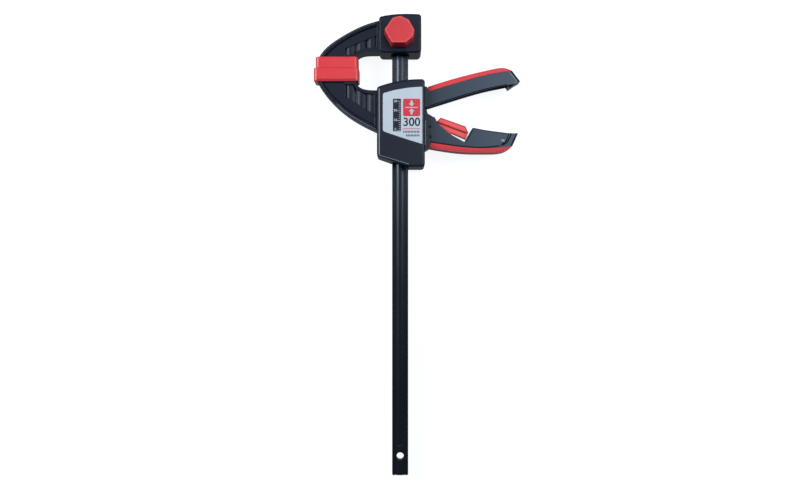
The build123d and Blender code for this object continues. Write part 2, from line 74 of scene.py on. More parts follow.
# %% [markdown]
# ## One way to say where things are
# On the drawing of a bar clamp everything is measured from the bar: how far to the side of its
# middle line, how far along it from where the two pads meet, and how far in front of it. The bar's
# own box says where that point is in the scene, so one small function turns a drawing dimension in
# millimetres into a place in metres.

# %% From the drawing to the scene
bar_low, bar_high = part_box("bar")
BAR_TOP = 53.8
MM = 0.001
bar_line = Vector(((bar_low.x + bar_high.x) / 2, bar_high.y - BAR_TOP * MM,
                   (bar_low.z + bar_high.z) / 2))


def at(x, y, z=0.0):
    """A point of the drawing: x across the bar, y along it, z in front of it, in millimetres."""
    return bar_line + Vector((x, y, z)) * MM


print("the drawing's zero is at", [round(v, 5) for v in at(0, 0)])

# %% [markdown]
# ## The camera
# The clamp lies on its back and the camera hangs straight above the middle of the bar, far enough
# away that the depth of the head is just visible: of its lower wall about five millimetres show.
# A camera that isn't turned looks straight down, with the bar's direction up in the picture.

# %% Hang the camera
scene = bpy.context.scene
CAMERA_SIDE, CAMERA_ALONG, CAMERA_HEIGHT = -0.15, -190.65, 920.0
LENS = 39.43
SENSOR = 36.0
NEAREST = 0.05
PICTURE_WIDTH = 800
camera_data = bpy.data.cameras.new("camera")
camera_data.lens = LENS
camera_data.sensor_width = SENSOR
camera_data.clip_start = NEAREST
camera = bpy.data.objects.new("camera", camera_data)
camera.location = at(CAMERA_SIDE, CAMERA_ALONG, CAMERA_HEIGHT)
scene.collection.objects.link(camera)
scene.camera = camera
pixels = LENS / SENSOR * PICTURE_WIDTH / CAMERA_HEIGHT
print("a millimetre at the bar is", round(pixels, 3), "pixels wide")

# %% [markdown]
# ## The studio
# Dark tools keep their shape in a picture when a bright soft lamp on one side draws a line along
# every rounded edge, and the other side stays dim. So a strong, cool lamp hangs at the upper left,
# beyond the head, and the shine that it draws on the long bar fades away downwards. A larger and
# weaker one hangs almost overhead, and a narrow one at the right draws a fainter line along the
# edges on that side. A dim room fills the shadows. Together they give about one on a surface that
# faces up, so a colour comes out about as bright as it is written, and the view transform is
# Standard, which shows it without any grading.

# %% Lamps
scene.view_settings.view_transform = "Standard"
LIT_SPOT = (0, -60, 0)


def lamp(name, place, size, power, tone):
    """A soft four-sided lamp of a size in metres and a tone, turned towards the clamp's mechanism."""
    data = bpy.data.lights.new(name, "AREA")
    data.color = tone
    data.shape = "RECTANGLE"
    data.size, data.size_y = size
    data.energy = power
    made = bpy.data.objects.new(name, data)
    made.location = at(*place)
    made.rotation_euler = (at(*LIT_SPOT) - made.location).to_track_quat("-Z", "Y").to_euler()
    scene.collection.objects.link(made)


lamp("lamp_left", (-760, 160, 700), (0.3, 0.5), 8.8, (0.88, 0.94, 1.0))
lamp("lamp_right", (270, 200, 900), (0.5, 0.5), 2.5, (0.92, 0.96, 1.0))
lamp("lamp_rim", (760, 120, 690), (0.2, 0.5), 3.8, (0.94, 0.97, 1.0))

# %% [markdown]
# ## Small helpers for nodes
# The room, the floor and every finish do sums with nodes, and a few helpers keep that short. One
# feeds an input with a number or a link, and the next three make a Math node, a Map Range node and
# one axis of a coordinate. The last one tells rays apart: the background has to be white where the
# camera sees it, through clear things too, and must not light the clamp as strongly as that.

# %% Helpers for sums, ranges and rays
def feed(tree, value, socket):
    """Gives an input a number, or links it to a socket."""
    if isinstance(value, (int, float)):
        socket.default_value = value
    else:
        tree.links.new(value, socket)


def math_node(tree, operation, *values, clamp=False):
    """A Math node; each of its values is a socket or a number."""
    node = tree.nodes.new("ShaderNodeMath")
    node.operation = operation
    node.use_clamp = clamp
    for slot, value in enumerate(values):
        feed(tree, value, node.inputs[slot])
    return node.outputs[0]


def map_node(tree, value, low, high, to_low=0.0, to_high=1.0, curve="LINEAR"):
    """A Map Range node from low..high to to_low..to_high; the limits are sockets or numbers."""
    node = tree.nodes.new("ShaderNodeMapRange")
    node.interpolation_type = curve
    tree.links.new(value, node.inputs["Value"])
    limits = {"From Min": low, "From Max": high, "To Min": to_low, "To Max": to_high}
    for title, limit in limits.items():
        feed(tree, limit, node.inputs[title])
    return node.outputs["Result"]


def axis_node(tree, space, axis):
    """One axis of a texture coordinate."""
    split = tree.nodes.new("ShaderNodeSeparateXYZ")
    tree.links.new(tree.nodes.new("ShaderNodeTexCoord").outputs[space], split.inputs[0])
    return split.outputs[axis]


def background_rays(tree, mirrored=1.0, kinds=("Is Glossy Ray", "Is Transmission Ray")):
    """One where the ray comes from the camera, and the mirrored share where it is of a named kind."""
    path = tree.nodes.new("ShaderNodeLightPath")
    total = path.outputs["Is Camera Ray"]
    for kind in kinds:
        total = math_node(tree, "MULTIPLY_ADD", path.outputs[kind], mirrored, total)
    return total


print("helpers for sums, ranges and rays")

# %% [markdown]
# ## The room
# The room's light falls off from the horizon to overhead, so that flat faces don't turn grey with
# it. At the foot of the bar the room is half as bright as beyond the head, and the shine on the bar
# fades with it. The camera sees plain white instead, and so does a ray through something clear.

# %% The surroundings
HORIZON, OVERHEAD = 0.25, 0.16
HORIZON_HEIGHT, OVERHEAD_HEIGHT = 0.30, 0.85
FOOT = 0.5
FOOT_SIDE, HEAD_SIDE = -0.7, 0.5
WHITE_LIGHT = (1, 1, 1, 1)
world = bpy.data.worlds.new("dim_room")
scene.world = world
world.use_nodes = True
room = world.node_tree
room.nodes.clear()
light_fade = map_node(room, axis_node(room, "Generated", "Z"), HORIZON_HEIGHT, OVERHEAD_HEIGHT,
                HORIZON, OVERHEAD, "SMOOTHSTEP")
sideways = map_node(room, axis_node(room, "Generated", "Y"), FOOT_SIDE, HEAD_SIDE, FOOT, 1.0)
dim = room.nodes.new("ShaderNodeBackground")
room.links.new(math_node(room, "MULTIPLY", light_fade, sideways), dim.inputs["Strength"])
white = room.nodes.new("ShaderNodeBackground")
choose = room.nodes.new("ShaderNodeMixShader")
room.links.new(background_rays(room, kinds=("Is Transmission Ray",)), choose.inputs["Fac"])
for slot, shade in enumerate((dim, white), start=1):
    shade.inputs["Color"].default_value = WHITE_LIGHT
    room.links.new(shade.outputs[0], choose.inputs[slot])
room_out = room.nodes.new("ShaderNodeOutputWorld")
room.links.new(choose.outputs[0], room_out.inputs["Surface"])
print("surroundings:", HORIZON, "at the horizon,", OVERHEAD, "overhead,", FOOT, "of it at the foot")

# %% [markdown]
# ## The floor
# A floor of cool grey paper under the clamp takes its shadow. Seen by the camera it gets light of
# its own, which brings the lit paper up to white; the shadow stays, because that light is added to
# the floor and not multiplied. Metal shows the floor too, with two fifths of that light, so that
# the dark walls of the plastic, which are seen at a flat angle, don't turn grey with it.

# %% Lay the floor
FLOOR_LIFT = 0.93
MIRRORED_LIFT = 0.40
PAPER = (0.19, 0.21, 0.235, 1)
PAPER_GLOW = (0.965, 0.985, 1.0, 1)
PAPER_ROUGHNESS = 0.9
PAPER_SHINE = 0.1
FLOOR_HALF = 3.0
FLOOR_GAP = 0.0003
corners = [(x * FLOOR_HALF, y * FLOOR_HALF, 0) for x, y in ((-1, -1), (1, -1), (1, 1), (-1, 1))]
floor_data = bpy.data.meshes.new("floor")
floor_data.from_pydata(corners, [], [(0, 1, 2, 3)])
floor = bpy.data.objects.new("floor", floor_data)
floor.location.z = solid_low.z - FLOOR_GAP
scene.collection.objects.link(floor)

paper = bpy.data.materials.new("floor_paper")
paper.use_nodes = True
sheet_tree = paper.node_tree
paper_shader = sheet_tree.nodes["Principled BSDF"]
paper_shader.inputs["Base Color"].default_value = PAPER
paper_shader.inputs["Roughness"].default_value = PAPER_ROUGHNESS
paper_shader.inputs["Specular IOR Level"].default_value = PAPER_SHINE
paper_glow = sheet_tree.nodes.new("ShaderNodeEmission")
paper_glow.inputs["Color"].default_value = PAPER_GLOW
lift = math_node(sheet_tree, "MULTIPLY", background_rays(sheet_tree, MIRRORED_LIFT), FLOOR_LIFT)
sheet_tree.links.new(lift, paper_glow.inputs["Strength"])
both = sheet_tree.nodes.new("ShaderNodeAddShader")
sheet_tree.links.new(paper_shader.outputs[0], both.inputs[0])
sheet_tree.links.new(paper_glow.outputs[0], both.inputs[1])
sheet_tree.links.new(both.outputs[0], sheet_tree.nodes["Material Output"].inputs["Surface"])
floor_data.materials.append(paper)
print("floor at", round(floor.location.z, 4))

# %% [markdown]
# ## Effects that several finishes share
# An effect is built once as a node group with named sockets, and each finish places it with its
# own values. A group hands out only things that change over the surface: heights, masks, tones.
# The shader itself always stays in the finish.

# %% Helpers for building effects
FLOAT = "NodeSocketFloat"


def effect(name, inputs, outputs):
    """A shader node group with float inputs (name: value) and outputs (name: socket type)."""
    group = bpy.data.node_groups.new(name, "ShaderNodeTree")
    for title, value in inputs.items():
        socket = group.interface.new_socket(title, in_out="INPUT", socket_type=FLOAT)
        socket.default_value = value
    for title, kind in outputs.items():
        group.interface.new_socket(title, in_out="OUTPUT", socket_type=kind)
    start = group.nodes.new("NodeGroupInput").outputs
    end = group.nodes.new("NodeGroupOutput").inputs
    return group, start, end


def noise_node(tree, scale, detail, roughness=0.5, stretch=None):
    """Noise in the piece's own space; scale is a socket or a number, stretch squashes an axis."""
    place = tree.nodes.new("ShaderNodeTexCoord").outputs["Object"]
    if stretch:
        mapping = tree.nodes.new("ShaderNodeMapping")
        mapping.inputs["Scale"].default_value = stretch
        tree.links.new(place, mapping.inputs["Vector"])
        place = mapping.outputs[0]
    node = tree.nodes.new("ShaderNodeTexNoise")
    node.inputs["Detail"].default_value = detail
    node.inputs["Roughness"].default_value = roughness
    tree.links.new(place, node.inputs["Vector"])
    feed(tree, scale, node.inputs["Scale"])
    return node.outputs["Fac"]


print("helpers for effects")

# %% [markdown]
# ### Moulded skin
# A steel mould for a tool handle is spark-eroded, which leaves a fine sandy texture on the plastic.
# Under it the surface is never quite even: plastic shrinks as it cools, so the gloss drifts in soft
# patches. A fine noise gives the sand, and a coarse one the patches.

# %% Build the moulded skin
moulded_skin, start, end = effect(
    "moulded_skin", {"Grain per metre": 2200.0, "Patch per metre": 45.0},
    {"Height": FLOAT, "Tone": FLOAT})
grain = noise_node(moulded_skin, start["Grain per metre"], 3.0, 0.6)
patches = noise_node(moulded_skin, start["Patch per metre"], 2.0)
moulded_skin.links.new(grain, end["Height"])
moulded_skin.links.new(patches, end["Tone"])
print("effect:", moulded_skin.name)

# %% [markdown]
# ### Worn edges
# Edges that are handled turn paler or shinier than the faces beside them. The Bevel node tells how
# far the normal would turn if the edge were round, and where it turns, there is an edge. A noise
# breaks the line up, because wear is never even. A second, wider Bevel node hands out the rounded
# normal itself, so that a soft highlight runs along each edge.

# %% Build the worn edges
EDGE_GAIN = 6.0
BREAK_GAIN, BREAK_SHIFT = 2.2, -0.5
MASK_SAMPLES, NORMAL_SAMPLES = 6, 8
worn_edges, start, end = effect(
    "worn_edges", {"Width": 0.0006, "Round": 0.0009, "Amount": 1.0, "Breaks per metre": 260.0},
    {"Mask": FLOAT, "Normal": "NodeSocketVector"})


def rounded_normal(radius, samples):
    """The normal that the surface would have with its edges rounded by a radius."""
    node = worn_edges.nodes.new("ShaderNodeBevel")
    node.samples = samples
    worn_edges.links.new(radius, node.inputs["Radius"])
    return node.outputs[0]


turn = worn_edges.nodes.new("ShaderNodeVectorMath")
turn.operation = "DOT_PRODUCT"
worn_edges.links.new(rounded_normal(start["Width"], MASK_SAMPLES), turn.inputs[0])
flat_normal = worn_edges.nodes.new("ShaderNodeNewGeometry").outputs["Normal"]
worn_edges.links.new(flat_normal, turn.inputs[1])
edge = math_node(worn_edges, "SUBTRACT", 1.0, turn.outputs["Value"], clamp=True)
edge = math_node(worn_edges, "MULTIPLY", edge, EDGE_GAIN, clamp=True)
breaks = noise_node(worn_edges, start["Breaks per metre"], 2.0)
breaks = math_node(worn_edges, "MULTIPLY_ADD", breaks, BREAK_GAIN, BREAK_SHIFT)
mask = math_node(worn_edges, "MULTIPLY", edge, breaks, clamp=True)
mask = math_node(worn_edges, "MULTIPLY", mask, start["Amount"], clamp=True)
worn_edges.links.new(mask, end["Mask"])
worn_edges.links.new(rounded_normal(start["Round"], NORMAL_SAMPLES), end["Normal"])
print("effect:", worn_edges.name)

# %% [markdown]
# ### Drawn steel
# Bars, pins and plates are drawn, ground or turned, and all of it leaves lines. Noise that is
# stretched nearly a hundredfold along the bar looks like such lines. A coarser noise, stretched
# only threefold, gives the stains between them.

# %% Build the drawn lines
LINE_STRETCH = (1.0, 0.012, 1.0)
STAIN_STRETCH = (1.0, 0.35, 1.0)
STAINS_PER_METRE = 60.0
drawn_lines, start, end = effect(
    "drawn_lines", {"Lines per metre": 1500.0}, {"Height": FLOAT, "Tone": FLOAT})
lines = noise_node(drawn_lines, start["Lines per metre"], 2.0, 0.6, LINE_STRETCH)
stains = noise_node(drawn_lines, STAINS_PER_METRE, 3.0, 0.6, STAIN_STRETCH)
drawn_lines.links.new(lines, end["Height"])
drawn_lines.links.new(stains, end["Tone"])
print("effect:", drawn_lines.name)

# %% [markdown]
# ### A painted lighter end
# The end of a handle is painted a little paler than its root: a painted gradient of light, a
# painted reflection that grows towards the tip. The mask rises along the piece from one place
# across the bar to another.

# %% Build the painted lighter end
painted_lighter_end, start, end = effect("painted_lighter_end", {"Starts at": 0.0, "Full at": 0.1}, {"Mask": FLOAT})
rise = map_node(painted_lighter_end, axis_node(painted_lighter_end, "Object", "X"), start["Starts at"], start["Full at"])
painted_lighter_end.links.new(rise, end["Mask"])
print("effect:", painted_lighter_end.name)

# %% [markdown]
# ### Painted shade and light on the under side
# Walls that look down the bar are out of the light. On the handles they get painted shade, nearly
# black, while on the soft sole they get painted light, a paler red. The mask picks these walls by
# the way they face.

# %% Build the painted shade and light of the under side
TURNS_AT, TURNED_AT = -0.25, -0.8
underside_painted_light, start, end = effect("underside_painted_light", {}, {"Mask": FLOAT})
turning = map_node(underside_painted_light, axis_node(underside_painted_light, "Normal", "Y"), TURNS_AT, TURNED_AT)
underside_painted_light.links.new(turning, end["Mask"])
print("effect:", underside_painted_light.name)

# %% [markdown]
# ## Finishes
# Every finish is a Principled shader with the effects plugged into it. Colours are written as the
# hexadecimal values that one would pick on a screen, and a helper turns them into linear light. A
# finish starts from two tones that the skin mixes. Where it asks for them, the painted lighter end
# and the painted shade and light of the under side are laid over, and the worn edges come last.
# Lengths are in millimetres.

# %% Colours and the finish helper
PLAIN = "#ffffff"
GLOSS_SPREAD = 0.10
finishes = []


def colour(code):
    """Linear red, green, blue and alpha of a screen colour such as #28313e."""
    values = [int(code[i:i + 2], 16) / 255 for i in (1, 3, 5)]
    return [v / 12.92 if v <= 0.04045 else ((v + 0.055) / 1.055) ** 2.4 for v in values] + [1.0]


def place_effect(tree, group, values):
    """The outputs of a shared effect, placed with this finish's own values."""
    node = tree.nodes.new("ShaderNodeGroup")
    node.node_tree = group
    for title, value in values.items():
        node.inputs[title].default_value = value
    return node.outputs


def laid_over(tree, below, code, mask):
    """A colour laid over another by a mask; the lower one is a screen colour or a socket."""
    node = tree.nodes.new("ShaderNodeMix")
    node.data_type = "RGBA"
    if isinstance(below, str):
        node.inputs["A"].default_value = colour(below)
    else:
        tree.links.new(below, node.inputs["A"])
    node.inputs["B"].default_value = colour(code)
    tree.links.new(mask, node.inputs["Factor"])
    return node.outputs["Result"]


def finish(name, dark, light, worn, roughness, skin, bump, wear, specular=0.5, tint=PLAIN,
           sheen=0.0, sheen_tint=PLAIN, coat=0.0, coat_roughness=0.25, metallic=0.0, polish=0.0,
           soft=0.9, breaks=260.0, paler=None, under=None):
    """Skin is an effect and its values, bump a strength and a depth, wear a width and an amount."""
    material = bpy.data.materials.new(name)
    material.use_nodes = True
    tree = material.node_tree
    shader = tree.nodes["Principled BSDF"]
    constants = {"Specular IOR Level": specular, "Specular Tint": colour(tint),
                 "Sheen Weight": sheen, "Sheen Tint": colour(sheen_tint), "Coat Weight": coat,
                 "Coat Roughness": coat_roughness, "Metallic": metallic}
    for title, value in constants.items():
        shader.inputs[title].default_value = value

    surface = place_effect(tree, *skin)
    tone = laid_over(tree, dark, light, surface["Tone"])
    # The paler end is a painted gradient of light along the piece.
    if paler:
        first, last, code = paler
        light_fade = place_effect(tree, painted_lighter_end, {"Starts at": at(first, 0).x, "Full at": at(last, 0).x})
        tone = laid_over(tree, tone, code, light_fade["Mask"])
    # Painted shade or painted light on walls that face down the bar.
    if under:
        tone = laid_over(tree, tone, under, place_effect(tree, underside_painted_light, {})["Mask"])
    edges = place_effect(tree, worn_edges, {"Width": wear[0] * MM, "Amount": wear[1],
                                            "Round": soft * MM, "Breaks per metre": breaks})
    tone = laid_over(tree, tone, worn, edges["Mask"])
    tree.links.new(tone, shader.inputs["Base Color"])

    gloss = math_node(tree, "MULTIPLY_ADD", surface["Tone"], GLOSS_SPREAD,
                      roughness - GLOSS_SPREAD / 2)
    rubbing = math_node(tree, "MULTIPLY", edges["Mask"], polish)
    gloss = math_node(tree, "SUBTRACT", gloss, rubbing, clamp=True)
    tree.links.new(gloss, shader.inputs["Roughness"])

    relief = tree.nodes.new("ShaderNodeBump")
    relief.inputs["Strength"].default_value = bump[0]
    relief.inputs["Distance"].default_value = bump[1] * MM
    tree.links.new(surface["Height"], relief.inputs["Height"])
    tree.links.new(edges["Normal"], relief.inputs["Normal"])
    for title in ("Normal", "Coat Normal"):
        tree.links.new(relief.outputs["Normal"], shader.inputs[title])
    finishes.append(material)
    return material


print("a colour such as #808080 is", round(colour("#808080")[0], 3), "in linear light")

# %% [markdown]
# ### Plastics and rubbers of the clamp
# The jaws and covers are glass-filled nylon, almost black with a blue cast, and a thin coat gives
# them their dull shine. The handles are the same plastic in slate. Knob and release lever are
# glossier red plastic, the pads and the strips on the handles soft red rubber, with a faint sheen
# that hard plastic hasn't got. The labels are a pale film. A bump is written as a strength and a
# depth, and wear as the width of the worn edge and its amount.

# %% Make the plastics and rubbers
SPARK = (moulded_skin, {"Grain per metre": 2400.0, "Patch per metre": 40.0})
FINE = (moulded_skin, {"Grain per metre": 3600.0, "Patch per metre": 70.0})
SOFT = (moulded_skin, {"Grain per metre": 1800.0, "Patch per metre": 55.0})
SANDY, SLIGHT, SUPPLE, FILM = (0.30, 0.03), (0.20, 0.03), (0.30, 0.05), (0.05, 0.02)
HANDLED = (0.6, 0.6)
RUBBER_WEAR = (0.6, 0.4)
COOL = "#dbe6f8"
ROSE = "#ff8c98"

jaw_plastic = finish("jaw_plastic", "#051122", "#0b182b", "#4a5768", 0.6, SPARK, SANDY, HANDLED,
                     specular=0.0, coat=0.5, coat_roughness=0.42, soft=1.1)
cover_plastic = finish("cover_plastic", "#141b28", "#1a2331", "#4f5c6d", 0.6, SPARK, SANDY,
                       HANDLED, specular=0.0, coat=0.45, coat_roughness=0.38, soft=1.1)
# The paler end of the handle plastic is a painted gradient of light, and its nearly black colour on
# walls that face down the bar is painted shade.
handle_plastic = finish("handle_plastic", "#252f3b", "#2f3945", "#6a7888", 0.42, SPARK, SANDY,
                        HANDLED, specular=0.35, tint=COOL, polish=0.2, soft=1.1,
                        paler=(25.0, 125.0, "#414e5c"), under="#040507")
red_plastic = finish("red_plastic", "#c62831", "#ce3038", "#ea7d80", 0.32, FINE, SLIGHT,
                     (0.5, 0.45), specular=0.4)
release_plastic = finish("release_plastic", "#e64747", "#f05050", "#f6979a", 0.30, FINE, SLIGHT,
                         (0.4, 0.4), specular=0.4)
pad_rubber = finish("pad_rubber", "#d33035", "#da363b", "#ec8486", 0.34, SOFT, SLIGHT,
                    RUBBER_WEAR, sheen=0.35, sheen_tint="#ff9aa8")
# The sole's paler red on walls that face down the bar is painted light.
grip_rubber = finish("grip_rubber", "#c4343a", "#cc3a40", "#e88386", 0.46, SOFT, SUPPLE,
                     RUBBER_WEAR, specular=0.2, sheen=0.9, sheen_tint=ROSE, under="#ee6a73")
strip_rubber = finish("strip_rubber", "#d6363b", "#de3c41", "#e88386", 0.46, SOFT, SUPPLE,
                      RUBBER_WEAR, specular=0.3, sheen=0.3, sheen_tint=ROSE)
label_film = finish("label_film", "#b4bfca", "#bcc7d2", "#e8eef6", 0.38, FINE, FILM,
                    (0.4, 0.5), specular=0.4, coat=0.2)
print(len(finishes), "finishes so far")

# %% [markdown]
# ### Steels of the clamp
# The bar is black steel whose edges are worn in long stretches. Screw, washer, nut, guides and the
# two levers' pins are zinc plated, the plates and springs bare steel. The rivet is a duller metal,
# and the small screws and pins in covers and handle are blackened.

# %% Make the steels
DRAWN = (drawn_lines, {"Lines per metre": 1500.0})
GROUND = (drawn_lines, {"Lines per metre": 2600.0})
SCRATCHED = (0.25, 0.04)
ROUGH_GROUND = (0.30, 0.04)

bar_steel = finish("bar_steel", "#090d15", "#0f141d", "#4a5564", 0.32, DRAWN, SCRATCHED,
                   (0.6, 0.45), tint=COOL, soft=0.3, breaks=9.0)
zinc_steel = finish("zinc_steel", "#a9adb2", "#c2c5c8", "#e2e4e6", 0.34, GROUND, SLIGHT,
                    (0.4, 0.7), metallic=1.0)
rivet_metal = finish("rivet_metal", "#6f7883", "#87909b", "#b9bfc7", 0.50, GROUND, SLIGHT,
                     (0.3, 0.7), metallic=1.0)
plate_steel = finish("plate_steel", "#6f7276", "#85888c", "#b8babd", 0.36, GROUND, ROUGH_GROUND,
                     (0.4, 0.7), metallic=1.0)
black_steel = finish("black_steel", "#0a0c0f", "#121519", "#4d5156", 0.48, GROUND, SLIGHT,
                     (0.3, 0.5), metallic=0.3)
print(len(finishes), "finishes so far")

# %% [markdown]
# ### Finishes for thin lines
# Painted highlights, painted shade and a few lines are too narrow for wear or texture of their own.
# They share one recipe and differ in their tones only: pale for a painted highlight along an edge,
# nearly black or dark red for painted shade in a groove, under an overhang or on a wall that faces
# away from the lamps.

# %% Make the finishes for thin lines
FAINT = (0.10, 0.02)
LITTLE_WEAR = (0.3, 0.2)


def line_finish(name, dark, light, worn, roughness, specular):
    """A finish with hardly any texture, wear or rounding."""
    return finish(name, dark, light, worn, roughness, FINE, FAINT, LITTLE_WEAR, specular=specular,
                  soft=0.1)


# A painted highlight in pale grey, on the cover's rim, on the handle beside the cover and inside the
# lever's tip.
painted_highlight_grey = line_finish("painted_highlight_grey", "#7a838d", "#87909a", "#98a1ab", 0.50, 0.2)
# A painted highlight in grey along the lips of the arms' flanges.
painted_lip_highlight = line_finish("painted_lip_highlight", "#505964", "#5a636e", "#6c7580", 0.50, 0.2)
# A painted highlight in pale red round the edge of the knob's face.
painted_highlight_red = line_finish("painted_highlight_red", "#dc5d65", "#e2666d", "#ee8d92", 0.40, 0.3)
# Painted shade in near black: in the grooves of joints, along the feet of the flanges, and on edges
# and walls that face away from the lamps.
painted_shade_black = line_finish("painted_shade_black", "#080b12", "#0d121b", "#1b222e", 0.70, 0.1)
# Dark red for painted shadow under the thumb pad and painted shade in the lower pad's mouth, and for
# the line round the thumb pad.
dark_red_plastic = line_finish("dark_red_plastic", "#8c2229", "#9a272e", "#b8474c", 0.45, 0.3)
print(len(finishes), "finishes in all")

# %% [markdown]
# ## Round the edges of the solids
# A mould has no razor-sharp edge, and light shows that: every edge of a real part carries a thin
# bright line. The solids come as triangles, so four modifiers work in turn: Weld joins the
# triangles, Decimate melts the flat ones into whole faces, Bevel rounds what is still sharp, and
# Weighted Normal keeps the large faces flat in the light. The solids' own mesh isn't touched. The
# springs are round wire and need no bevel.

# %% Dress each solid
JOIN_WITHIN = 1e-6
FLAT_ANGLE = 1.0
SHARP_ANGLE = 32.0
BEVEL_STEPS = 2


def dress(node, material, width):
    """Gives a solid its finish and rounds its edges by so many millimetres."""
    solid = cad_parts[node]
    solid.data.materials.clear()
    solid.data.materials.append(material)
    for polygon in solid.data.polygons:
        polygon.material_index = 0
    if not width:
        return
    weld = solid.modifiers.new("join_triangles", "WELD")
    weld.merge_threshold = JOIN_WITHIN
    flat = solid.modifiers.new("whole_faces", "DECIMATE")
    flat.decimate_type = "DISSOLVE"
    flat.angle_limit = math.radians(FLAT_ANGLE)
    round_off = solid.modifiers.new("rounded_edges", "BEVEL")
    round_off.width = width * MM
    round_off.segments = BEVEL_STEPS
    round_off.limit_method = "ANGLE"
    round_off.angle_limit = math.radians(SHARP_ANGLE)
    even = solid.modifiers.new("even_normals", "WEIGHTED_NORMAL")
    even.keep_sharp = True


WARDROBE = (
    (bar_steel, 0.25, ("bar",)),
    (jaw_plastic, 0.4, ("fixed_jaw", "moving_jaw")),
    (cover_plastic, 0.35, ("front_cover", "rear_cover")),
    (label_film, 0.2, ("front_label", "rear_label")),
    (handle_plastic, 0.4, ("pump_lever", "handle", "handle_end_cap")),
    (strip_rubber, 0.3, ("lever_soft_grip",)),
    (grip_rubber, 0.3, ("handle_soft_grip",)),
    (pad_rubber, 0.4, ("fixed_pad", "moving_pad")),
    (red_plastic, 0.3, ("knob",)),
    (release_plastic, 0.3, ("release_lever",)),
    (zinc_steel, 0.15, ("knob_screw", "knob_washer", "head_nut", "lever_pivot_pins",
                        "release_pivot_pin", "upper_bar_guide", "lower_bar_guide")),
    (plate_steel, 0.15, ("drive_plates", "brake_plate")),
    (plate_steel, 0.0, ("drive_spring", "brake_spring")),
    (black_steel, 0.1, ("cover_screws", "handle_pin", "release_stop_pin")),
    (rivet_metal, 0.1, ("end_cap_rivet",)))
for material, width, nodes in WARDROBE:
    for node in nodes:
        dress(node, material, width)
print(sum(len(nodes) for _, _, nodes in WARDROBE), "of", len(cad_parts), "solids are dressed")

# %% [markdown]
# ## Flat pieces drawn as outlines
# Printing, joint lines, painted shade and painted highlights are flat and very thin, so each is
# drawn as outlines in the drawing's millimetres and given a thickness of a few hundredths. A smooth
# curve goes through its points as a Catmull-Rom spline, and a ribbon is a curve with a width. Every
# piece is told which body carries it, and which of the clamp's materials it belongs to. Front and
# rear get the same pieces, so a side is a name and a direction, out of the front or out of the rear.

# %% Helpers for flat pieces
INK = 0.03
SIDES = (("front", 1), ("rear", -1))
CURVE_STEPS = 6
CORNER_STEPS = 5


def smooth(points):
    """Points along a Catmull-Rom curve through the given points."""
    ends = [Vector(points[0]) * 2 - Vector(points[1])] + [Vector(p) for p in points]
    ends.append(Vector(points[-1]) * 2 - Vector(points[-2]))
    line = []
    for a, b, c, d in zip(ends, ends[1:], ends[2:], ends[3:]):
        for step in range(CURVE_STEPS):
            t = step / CURVE_STEPS
            line.append((2 * b + (c - a) * t + (2 * a - 5 * b + 4 * c - d) * t ** 2
                         + (3 * b - a - 3 * c + d) * t ** 3) / 2)
    return line + [ends[-2]]


def shifted(points, distance):
    """The points moved to the left of the way they run."""
    line = [Vector(p) for p in points]
    moved = []
    for index, point in enumerate(line):
        ahead = line[min(index + 1, len(line) - 1)] - line[max(index - 1, 0)]
        moved.append(point + Vector((-ahead.y, ahead.x)).normalized() * distance)
    return moved


def ribbon(points, width):
    """The outline of a band of some width along a line of points."""
    return shifted(points, width / 2) + shifted(points, -width / 2)[::-1]


def box_outline(x_low, x_high, y_low, y_high):
    """A rectangle's outline."""
    return [(x_low, y_low), (x_high, y_low), (x_high, y_high), (x_low, y_high)]


def rounded_box(x_low, x_high, y_low, y_high, radius):
    """A rectangle's outline with round corners."""
    outline = []
    corners = ((x_high, y_high, 0), (x_low, y_high, 90), (x_low, y_low, 180), (x_high, y_low, 270))
    for x, y, first in corners:
        centre = Vector((min(max(x, x_low + radius), x_high - radius),
                         min(max(y, y_low + radius), y_high - radius)))
        for step in range(CORNER_STEPS + 1):
            angle = math.radians(first + 90 * step / CORNER_STEPS)
            outline.append(centre + Vector((math.cos(angle), math.sin(angle))) * radius)
    return outline


def flat_piece(name, outlines, z, material, body, thickness=INK):
    """One piece of flat shapes from z to z + thickness; a negative thickness goes downwards."""
    mesh = bpy.data.meshes.new(name)
    shapes = bmesh.new()
    for outline in outlines:
        low = [shapes.verts.new(at(x, y, z)) for x, y in outline]
        high = [shapes.verts.new(at(x, y, z + thickness)) for x, y in outline]
        shapes.faces.new(low)
        shapes.faces.new(high)
        for i, corner in enumerate(low):
            after = (i + 1) % len(low)
            shapes.faces.new((corner, low[after], high[after], high[i]))
    bmesh.ops.triangulate(shapes, faces=[f for f in shapes.faces if len(f.verts) > 4],
                          ngon_method="EAR_CLIP")
    bmesh.ops.recalc_face_normals(shapes, faces=shapes.faces)
    shapes.to_mesh(mesh)
    shapes.free()
    mesh.materials.append(material)
    piece = bpy.data.objects.new(name, mesh)
    scene.collection.objects.link(piece)
    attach(piece, body)


print("flat pieces are", INK, "mm thick")

# %% [markdown]
# ## The printing on the labels
# A plain design: a red panel with two arrows that press on a board, a ruler strip with figures, the
# jaw's opening as a number, and two rows of marks under a thin rule. The rear label is cut to the
# same outline and carries the same design, with its figures turned so that they read from behind.

# %% Helpers for the printing
LABEL_FACE = 19.0
PANEL = (3.0, 20.6, -51.0, -33.0)
STRIP = (-7.4, 0.8, -66.5, -33.0)
RULE = (3.0, 20.6, -64.3, -63.6)
PANEL_CORNER, STRIP_CORNER = 1.6, 0.8
ARROW_HEAD, SHAFT_HALF = 3.0, 1.1
TICK_GAP, LONG_TICK, SHORT_TICK, TICK_HALF = 2.0, 3.2, 1.7, 0.22
TICK_MARGIN, STRIP_MARGIN = 0.6, 1.0
MARK_ROWS = ((3.2, -66.0), (6.3, -69.8))
MARK_GAP, MARK_WIDTH, MARK_HEIGHT = 1.55, 0.9, 2.0
LETTER_WEIGHT = 0.016


